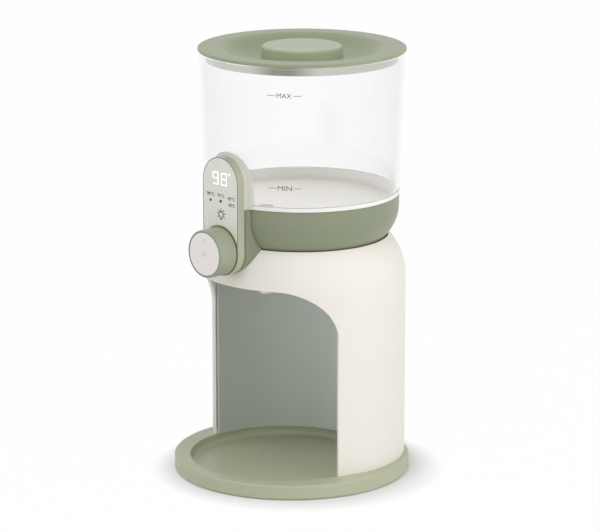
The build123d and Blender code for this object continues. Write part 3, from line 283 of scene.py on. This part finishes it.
def liner_plastic():
    """The bay's liner, a little darker towards its left edge: painted shade, and lighter to the right,
    painted light.
    """
    left_edge, reach = (-0.08, 0, 0), 0.035
    material = plastic("liner_plastic", srgb(203, 207, 200), rough=0.5)
    across = measured(material.node_tree, ACROSS, reach, reach, centre=left_edge)
    return two_tone(material, srgb(187, 191, 184), srgb(227, 231, 226), across)


def metal(name, colour, rough=0.3, grain_scale=BRUSHED):
    """Bare metal with a grain of the given scale."""
    material, tree, shader = new_material(name)
    stretched = add(tree, "Mapping", {"Scale": grain_scale})
    tree.links.new(object_coords(tree), stretched.inputs["Vector"])
    grain = noise(tree, stretched.outputs["Vector"], scale=1.0, detail=3.0)
    roughness = span(tree, grain, max(0.02, rough - 0.06), rough + 0.08)
    tree.links.new(roughness, shader.inputs["Roughness"])
    relief(tree, grain, strength=0.03, distance=0.0001)
    shader.inputs["Base Color"].default_value = colour
    shader.inputs["Metallic"].default_value = 1.0
    return material


def skirt_metal():
    """The lid's brushed skirt, pale with one broad dark streak: a painted reflection of a dark surround.
    """
    pale, dark = srgb(208, 210, 200), srgb(140, 142, 126)
    dark_reflection_centre, dark_reflection_radius, blend = (0.039, -0.045, 0), 0.016, 0.009
    material = metal("skirt_metal", pale, rough=0.3)
    beside = measured(material.node_tree, AROUND, dark_reflection_radius, blend, centre=dark_reflection_centre)
    return two_tone(material, dark, pale, beside)


def glass():
    """Clear glass, darker seen edge on; shadow rays and rays caught in the wall pass straight on."""
    caught_after = 3.5  # bounces
    material, tree, shader = new_material("clear_glass")
    relief(tree, noise(tree, object_coords(tree), scale=9.0), strength=0.01, distance=0.001)
    slant = add(tree, "LayerWeight", {"Blend": 0.25})
    tint = mixed(tree, grey(0.99), grey(0.8), slant.outputs["Facing"])
    tree.links.new(tint, shader.inputs["Base Color"])
    shader.inputs["Roughness"].default_value = 0.0
    shader.inputs["IOR"].default_value = 1.47
    shader.inputs["Transmission Weight"].default_value = 1.0
    clear = add(tree, "BsdfTransparent", {"Color": grey(0.93)})
    caught = combine(tree, "GREATER_THAN", light_path(tree, "Ray Depth"), caught_after)
    straight = combine(tree, "MAXIMUM", light_path(tree, "Is Shadow Ray"), caught)
    mixed_shader(tree, straight, shader.outputs[0], clear.outputs[0])
    return material


def pale_pan():
    """The pan's coated floor: pale, soft sheen, faint turned rings."""
    material, tree, shader = new_material("pale_pan")
    shift = add(tree, "Mapping", {"Location": (0, -AXIS_Y, 0)})
    tree.links.new(object_coords(tree), shift.inputs["Vector"])
    turning = {"Scale": 260.0, "Distortion": 0.4}
    rings = add(tree, "TexWave", turning, wave_type="RINGS", rings_direction="Z")
    tree.links.new(shift.outputs["Vector"], rings.inputs["Vector"])
    tree.links.new(span(tree, rings.outputs["Fac"], 0.34, 0.44), shader.inputs["Roughness"])
    shader.inputs["Base Color"].default_value = srgb(250, 246, 241)
    shader.inputs["Metallic"].default_value = 0.0
    return material


def lamp(name, strength):
    """A lit segment behind a thin diffuser, its light a little uneven."""
    material, tree, shader = new_material(name)
    uneven = span(tree, noise(tree, object_coords(tree), scale=300.0), strength * 0.92, strength)
    tree.links.new(uneven, shader.inputs["Emission Strength"])
    shader.inputs["Emission Color"].default_value = (1.0, 1.0, 0.985, 1)
    shader.inputs["Base Color"].default_value = (0.9, 0.9, 0.88, 1)
    shader.inputs["Roughness"].default_value = 0.4
    return material


slot_looks = {
    "sage_plastic": plastic("sage_plastic", srgb(182, 187, 160), rough=0.42),
    "pod_plastic": plastic("pod_plastic", srgb(178, 184, 158), rough=0.28, coat=0.3),
    "cream_plastic": plastic("cream_plastic", srgb(243, 238, 230), rough=0.38, vary=0.008),
    "liner_plastic": liner_plastic(),
    "white_plastic": plastic("white_plastic", srgb(240, 240, 238), rough=0.35, vary=0.01),
    "black_plastic": plastic("black_plastic", srgb(40, 40, 40), rough=0.4),
    "milky_plastic": milky("milky_plastic", srgb(244, 240, 237), 0.15),
    # the fascia and the knob's face carry a painted glow
    "fascia_plastic": painted_glow_panel("fascia_plastic", srgb(226, 225, 216), 0.05),
    "knob_face_plastic": painted_glow_panel("knob_face_plastic", srgb(230, 225, 221), 0.1),
    "display_plastic": plastic("display_plastic", srgb(60, 60, 60), rough=0.2),
    "board_green": plastic("board_green", srgb(35, 110, 70), rough=0.35),
    "foot_rubber": plastic("foot_rubber", srgb(70, 70, 70), rough=0.8),
    "silicone": plastic("silicone", srgb(248, 247, 244), rough=0.45, vary=0.01),
    "clear_glass": glass(),
    "steel": metal("steel", srgb(222, 218, 212), rough=0.5),
    "skirt_metal": skirt_metal(),
    "aluminium": metal("aluminium", srgb(200, 200, 202), rough=0.45, grain_scale=CAST),
}
own_looks = {
    "lid": plastic("lid_sage", srgb(154, 163, 131), rough=0.36, specular=0.35),
    "lid_knob": plastic("lid_knob_sage", srgb(169, 177, 147), rough=0.32),
    # the neck's darker sage is painted shade
    "neck": plastic("neck_sage", PAINTED_SHADE_SAGE, rough=0.4),
    "knob": plastic("knob_sage", srgb(158, 164, 139), rough=0.3, coat=0.2),
    "cup": cup_plastic(),
    "pod_back": pod_back_plastic(),
    "pan": pale_pan(),
    "ink": plastic("ink", srgb(40, 40, 36), rough=0.5, bump=0.0),
    "grey_ink": plastic("grey_ink", srgb(92, 93, 86), rough=0.5, bump=0.0),
    # dark ink for the joint lines and for the painted shadow round the knob's foot
    "joint_and_shadow_ink": plastic("joint_and_shadow_ink", srgb(108, 112, 96), rough=0.4, bump=0.0),
    "faint_ink": plastic("faint_ink", srgb(176, 172, 168), rough=0.5, bump=0.0),
    "lamp": lamp("lamp", 0.62),
}
node_looks = {
    "lid_shell": "lid",
    "lid_knob": "lid_knob",
    "knob_ring": "knob",
    "jug_cup": "cup",
    "pod_back": "pod_back",
    "pod_neck": "neck",
    "heated_floor": "pan",
    "valve_cage": "pan",
    "outlet_valve": "pan",
    "outlet_tube": "pan",
}
slot_of = {s["node"]: s["material_slot"] for s in frame["record"]["subparts"]}
for name, obj in nodes.items():
    look = own_looks[node_looks[name]] if name in node_looks else slot_looks[slot_of[name]]
    obj.data.materials.clear()
    obj.data.materials.append(look)


# ---------------------------------------------------------------- printed marks and thin trim
def half_width(name):
    """Half a node's width, in millimetres."""
    low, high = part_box(name)
    return (high[0] - low[0]) / 2 / MM


# Flat marks are given in millimetres from the centre of the pod's top round, or of the knob.
FACE_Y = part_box("fascia")[0][1]  # the front of the fascia
BUTTON_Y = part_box("knob_button")[0][1]
KNOB_Z = (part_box("knob_ring")[0][2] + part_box("knob_ring")[1][2]) / 2 / MM
POD_CENTRE_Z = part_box("pod_housing")[1][2] / MM - half_width("pod_housing")
GLASS_FLARE = 0.0038  # the glass is wider at its top by this
PRINT_LIFT = 0.00004  # prints stand this far off their surface, and the joint lines a little less or more


def capsule(p, q, r, steps=8):
    """A bar with round ends, as one outline."""
    turn = math.atan2(q[1] - p[1], q[0] - p[0])
    outline = []
    for end, start in ((q, turn - math.pi / 2), (p, turn + math.pi / 2)):
        for k in range(steps + 1):
            a = start + math.pi * k / steps
            outline.append((end[0] + r * math.cos(a), end[1] + r * math.sin(a)))
    return [outline]


def ring(centre, r_in, r_out, start=0.0, end=360.0, steps=40):
    """An arc of a ring, as a strip of quads."""
    quads = []
    for k in range(steps):
        a, b = (math.radians(start + (end - start) * t / steps) for t in (k, k + 1))
        quads.append(
            [
                (centre[0] + r * math.cos(t), centre[1] + r * math.sin(t))
                for r, t in ((r_in, a), (r_out, a), (r_out, b), (r_in, b))
            ]
        )
    return quads


def disc(centre, r, steps=24):
    angles = [2 * math.pi * k / steps for k in range(steps)]
    return [[(centre[0] + r * math.cos(a), centre[1] + r * math.sin(a)) for a in angles]]


def box(left, right, bottom, top):
    return [[(left, bottom), (right, bottom), (right, top), (left, top)]]


def on_plane(y, centre_z, lift=PRINT_LIFT):
    """Places a flat mark on a plane that faces the front, round a centre."""
    return lambda u, v: Vector((u * MM, y - lift, (centre_z + v) * MM))


def on_glass(lift=PRINT_LIFT):
    """Places degrees from the front and a height in millimetres on the jug's flared glass."""
    low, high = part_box("jug_glass")
    top = (high[0] - low[0]) / 2
    foot = top - GLASS_FLARE

    def place(u, v):
        share = (v * MM - low[2]) / (high[2] - low[2])
        r = foot + (top - foot) * share + lift
        a = math.radians(u)
        return Vector((r * math.sin(a), AXIS_Y - r * math.cos(a), v * MM))

    return place


def mark(name, outlines, place, look, body):
    """A printed mark: flat outlines laid on a surface, as one mesh piece."""
    build = bmesh.new()
    for outline in outlines:
        build.faces.new([build.verts.new(place(u, v)) for u, v in outline])
    bmesh.ops.remove_doubles(build, verts=build.verts, dist=1e-7)
    bmesh.ops.recalc_face_normals(build, faces=build.faces)
    mesh = bpy.data.meshes.new(name)
    build.to_mesh(mesh)
    build.free()
    mesh.materials.append(own_looks[look])
    piece = bpy.data.objects.new(name, mesh)
    scene.collection.objects.link(piece)
    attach(piece, body)


def lettering(text, left, right, bottom, top, weight=0.0):
    """Outlines of a short word, fitted between four edges; a weight above 0 is bolder."""
    curve = bpy.data.curves.new("lettering", "FONT")
    curve.body = text
    curve.offset = weight
    holder = bpy.data.objects.new("lettering", curve)
    scene.collection.objects.link(holder)
    bpy.context.view_layer.update()
    mesh = bpy.data.meshes.new_from_object(holder)
    xs = [v.co.x for v in mesh.vertices]
    ys = [v.co.y for v in mesh.vertices]
    low_x, low_y = min(xs), min(ys)
    wider = (right - left) / (max(xs) - low_x)
    taller = (top - bottom) / (max(ys) - low_y)
    outlines = []
    for face in mesh.polygons:
        points = [mesh.vertices[i].co for i in face.vertices]
        outlines.append([(left + wider * (p.x - low_x), bottom + taller * (p.y - low_y)) for p in points])
    bpy.data.objects.remove(holder)
    bpy.data.curves.remove(curve)
    bpy.data.meshes.remove(mesh)
    return outlines


def make_digits(face):
    """Two lit seven-segment digits and the degree ring."""
    width, height, stroke, foot = 5.3, 8.7, 0.44, -1.6
    end_gap = 0.35  # each segment stops short of the corner by this
    mid, high = foot + height / 2, foot + height
    bars = []
    for left, lit in ((-7.6, "abcdfg"), (1.4, "abcdefg")):
        right = left + width
        spans = {
            "a": ((left, high), (right, high)),
            "b": ((right, high), (right, mid)),
            "c": ((right, mid), (right, foot)),
            "d": ((left, foot), (right, foot)),
            "e": ((left, mid), (left, foot)),
            "f": ((left, high), (left, mid)),
            "g": ((left, mid), (right, mid)),
        }
        for bar in lit:
            start, stop = (Vector(end) for end in spans[bar])
            short = (stop - start).normalized() * end_gap
            bars += capsule(start + short, stop - short, stroke)
    bars += ring((9.8, 7.2), r_in=0.5, r_out=1.05)
    mark("digits", bars, face, "lamp", "stand")


def make_labels(face):
    """The temperature labels with their dots, and the small lit dot."""
    half_height, weight = 1.3, 0.018
    for name, text, left, right, middle in (
        ("label_98", "98\u00b0C", -14.5, -6.7, -10.0),
        ("label_75", "75\u00b0C", -3.1, 4.4, -9.9),
        ("label_45", "45\u00b0C", 8.1, 16.0, -10.7),
        ("label_40", "40\u00b0C", 8.9, 15.9, -15.6),
    ):
        outlines = lettering(text, left, right, middle - half_height, middle + half_height, weight)
        mark(name, outlines, face, "ink", "stand")
    dots = disc((-10.6, -14.8), 1.1) + disc((0.5, -14.3), 1.25)
    mark("dots", dots, face, "ink", "stand")
    mark("ready_dot", disc((-14.1, -33.8), 0.42), face, "lamp", "stand")


def make_lamp_sign(face):
    """A light bulb with rays."""
    x, z = 0.8, -24.1
    sign = ring((x, z), r_in=1.85, r_out=2.75, start=-58, end=238)
    for side in (-1, 1):
        sign += capsule((x + side * 1.25, z - 2.0), (x + side * 0.8, z - 3.0), 0.36)
    sign += capsule((x - 0.75, z - 3.5), (x + 0.75, z - 3.5), 0.42)
    ray_start, ray_end, ray_width, ray_step = 3.6, 4.3, 0.38, 40
    for k in range(7):
        a = math.radians(ray_step * k - 30)
        start, end = ((x + r * math.cos(a), z + r * math.sin(a)) for r in (ray_start, ray_end))
        sign += capsule(start, end, ray_width)
    mark("lamp_sign", sign, face, "ink", "stand")


def make_pod_trim():
    """The dark joint lines round the fascia and round the knob's face, and a painted shadow round the
    knob's foot.
    """
    fascia = half_width("fascia")
    r_in, r_out = fascia - 0.25, fascia + 0.3
    line = ring((0, 0), r_in, r_out, 0, 180)
    foot = KNOB_Z + 6.0 - POD_CENTRE_Z  # the sides end behind the knob
    for side in (-1, 1):
        left, right = sorted((side * r_in, side * r_out))
        line += box(left, right, foot, 0)
    face = on_plane(FACE_Y, POD_CENTRE_Z, 0.00003)
    mark("fascia_line", line, face, "joint_and_shadow_ink", "stand")
    # a dark ring on the fascia round the knob's foot: painted shadow of the knob
    collar = half_width("knob_ring")
    shade = ring((0, 0), collar - 0.8, collar + 0.7, steps=96)
    mark("knob_painted_shadow", shade, on_plane(FACE_Y, KNOB_Z, 0.00005), "joint_and_shadow_ink", "stand")
    button = half_width("knob_button")
    gap = ring((0, 0), button - 0.12, button + 0.42, steps=96)
    mark("knob_line", gap, on_plane(BUTTON_Y, KNOB_Z, 0.00003), "joint_and_shadow_ink", "knob")


def make_button_signs():
    """The two faint signs on the knob's face."""
    face = on_plane(BUTTON_Y, KNOB_Z)
    power = ring((-0.6, 0), r_in=1.2, r_out=1.55, start=118, end=422)
    power += capsule((-0.6, 1.0), (-0.6, 2.3), 0.18)
    mark("power_sign", power, face, "faint_ink", "button")
    drop = ring((-0.6, 9.9), r_in=0.5, r_out=0.8, start=-220, end=40)
    for foot in ((-1.2, 10.5), (0.0, 10.5)):
        drop += capsule(foot, (-0.6, 11.6), 0.15)
    mark("drop_sign", drop, face, "faint_ink", "button")


def make_level_marks():
    """MAX and MIN on the glass, each between two dashes; across the glass they are placed in degrees."""
    low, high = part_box("jug_glass")
    half_height, half_dash = 1.75, 0.2
    for word, z in (("MAX", high[2] / MM - 20.8), ("MIN", low[2] / MM + 15.0)):
        outlines = lettering(word, 32.0, 40.2, z - half_height, z + half_height)
        for left, right in ((26.7, 31.3), (41.2, 45.7)):
            outlines += box(left, right, z - half_dash, z + half_dash)
        mark("level_" + word, outlines, on_glass(), "grey_ink", "jug")


fascia_face = on_plane(FACE_Y, POD_CENTRE_Z)
make_digits(fascia_face)
make_labels(fascia_face)
make_lamp_sign(fascia_face)
make_pod_trim()
make_button_signs()
make_level_marks()

# ---------------------------------------------------------------- stage and light
# Floor and world are white to the eye; under the object the floor's white fades as a painted shadow.
# The fade also lets the floor's real shadow show; its centre sits a little off the axis.
PAINTED_SHADOW_WHITE, WHITE_FAR = 0.15, 0.985
WHITE_EDGE, WHITE_BLEND = 0.101, 0.011
PAINTED_SHADOW_CENTRE = (0.007, 0.0, 0.0)
WORLD_AMBIENT = 0.24
FLOOR_SIZE = 6.0


def make_floor():
    mesh = bpy.data.meshes.new("floor")
    build = bmesh.new()
    bmesh.ops.create_grid(build, x_segments=1, y_segments=1, size=FLOOR_SIZE)
    build.to_mesh(mesh)
    build.free()
    floor = bpy.data.objects.new("floor", mesh)
    scene.collection.objects.link(floor)
    material, tree, shader = new_material("floor")
    shader.inputs["Base Color"].default_value = grey(0.9)
    shader.inputs["Roughness"].default_value = 0.9
    shader.inputs["Specular IOR Level"].default_value = 0.0
    glow = add(tree, "Emission")
    # the painted shadow: the floor's glow drops near the object
    beyond = measured(tree, AROUND, WHITE_EDGE, WHITE_BLEND, PAINTED_SHADOW_CENTRE)
    white = combine(tree, "MULTIPLY", seen_ray(tree), span(tree, beyond, PAINTED_SHADOW_WHITE, WHITE_FAR))
    mixed_shader(tree, white, shader.outputs[0], glow.outputs[0])
    mesh.materials.append(material)


def make_world():
    world = bpy.data.worlds.new("world")
    scene.world = world
    world.use_nodes = True
    tree = world.node_tree
    background = tree.nodes["Background"]
    tree.links.new(span(tree, seen_ray(tree), WORLD_AMBIENT, 1.0), background.inputs["Strength"])
    background.inputs["Color"].default_value = grey(1)


def softbox(name, azimuth, distance, height, aim, size, radiance):
    """A rectangular light, placed from the object's front and turned to a height on its axis."""
    data = bpy.data.lights.new(name, "AREA")
    data.shape = "RECTANGLE"
    data.size, data.size_y = size
    data.energy = radiance * math.pi * size[0] * size[1]
    light = bpy.data.objects.new(name, data)
    a = math.radians(azimuth)
    place = Vector((distance * math.sin(a), AXIS_Y - distance * math.cos(a), height))
    light.location = place
    light.rotation_mode = "QUATERNION"
    facing = Vector((0, AXIS_Y, aim)) - place
    light.rotation_quaternion = facing.to_track_quat("-Z", "Y")
    light.visible_camera = False
    light.visible_glossy = False
    light.visible_transmission = False
    scene.collection.objects.link(light)


make_floor()
make_world()
softbox("right_light", azimuth=110, distance=0.85, height=0.62, aim=0.62, size=(1.3, 1.2), radiance=1.3)
softbox("low_light", azimuth=40, distance=1.5, height=0.35, aim=0.1, size=(1.2, 0.6), radiance=1.25)
softbox("left_light", azimuth=-50, distance=1.8, height=0.9, aim=0.17, size=(1.2, 1.3), radiance=1.85)
softbox("top_light", azimuth=25, distance=0.9, height=1.7, aim=0.17, size=(1.1, 1.1), radiance=2.65)
scene.view_settings.view_transform = "Standard"
